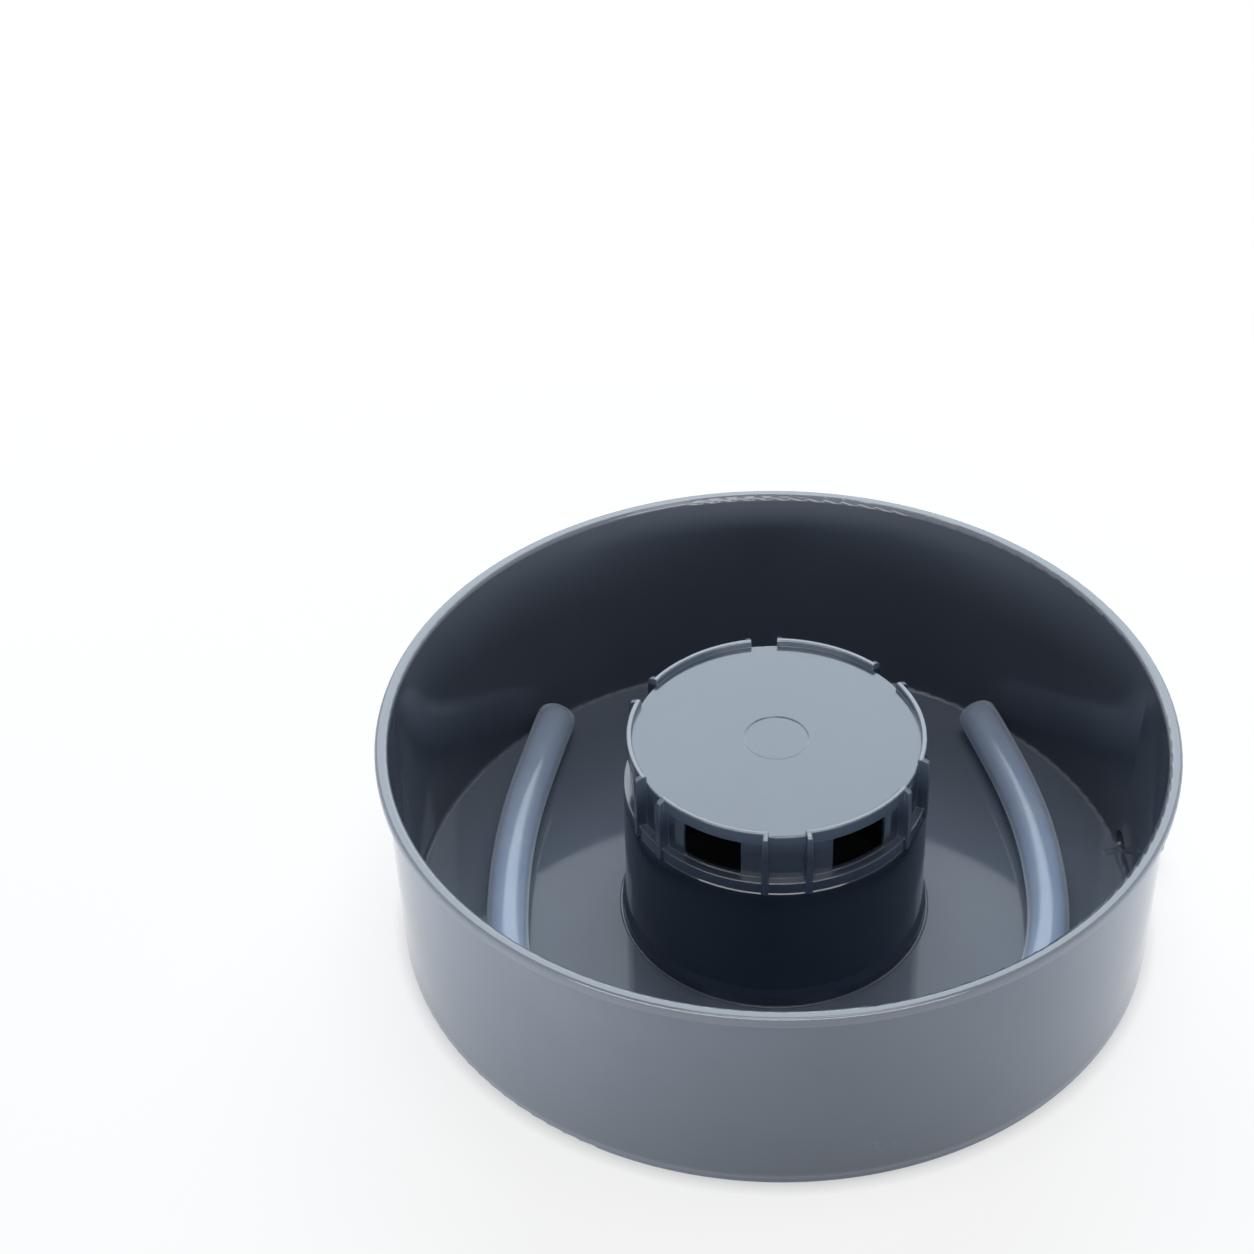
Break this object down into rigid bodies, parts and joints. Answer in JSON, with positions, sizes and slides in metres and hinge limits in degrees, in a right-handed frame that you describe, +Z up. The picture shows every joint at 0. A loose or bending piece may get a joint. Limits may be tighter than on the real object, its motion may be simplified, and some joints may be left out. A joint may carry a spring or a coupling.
{
  "type": "steam juicer basin",
  "caption": "Round plastic juice basin of a steam juicer with a central steam chimney, a lift-off notched cap with side windows, a low drain spout and a loose drain hose.",
  "frame": {"origin": "on the axis of the steam inlet, in the plane that the basin stands on", "axes": "+X points out along the drain spout, +Z points up out of the basin"},
  "size_m": [0.2452, 0.24, 0.0726],
  "materials": {
    "basin_plastic": "smooth glossy moulded polypropylene, blue-grey",
    "chimney_plastic": "smooth glossy moulded polypropylene, dark blue-grey",
    "cap_plastic": "satin gloss moulded polypropylene, blue-grey",
    "gasket_rubber": "matt food-grade silicone",
    "hose_silicone": "translucent bluish white silicone tube"
  },
  "bodies": {
    "base": {"basin": "basin_plastic", "chimney_gasket": "gasket_rubber", "chimney_tube": "chimney_plastic", "juice_hose": "hose_silicone"},
    "cap": {"steam_cap": "cap_plastic"}
  },
  "joints": [
    {"name": "cap_lift", "type": "slide", "parent": "base", "child": "cap", "axis": [0, 0, 1], "range_m": [0, 0.04]}
  ]
}
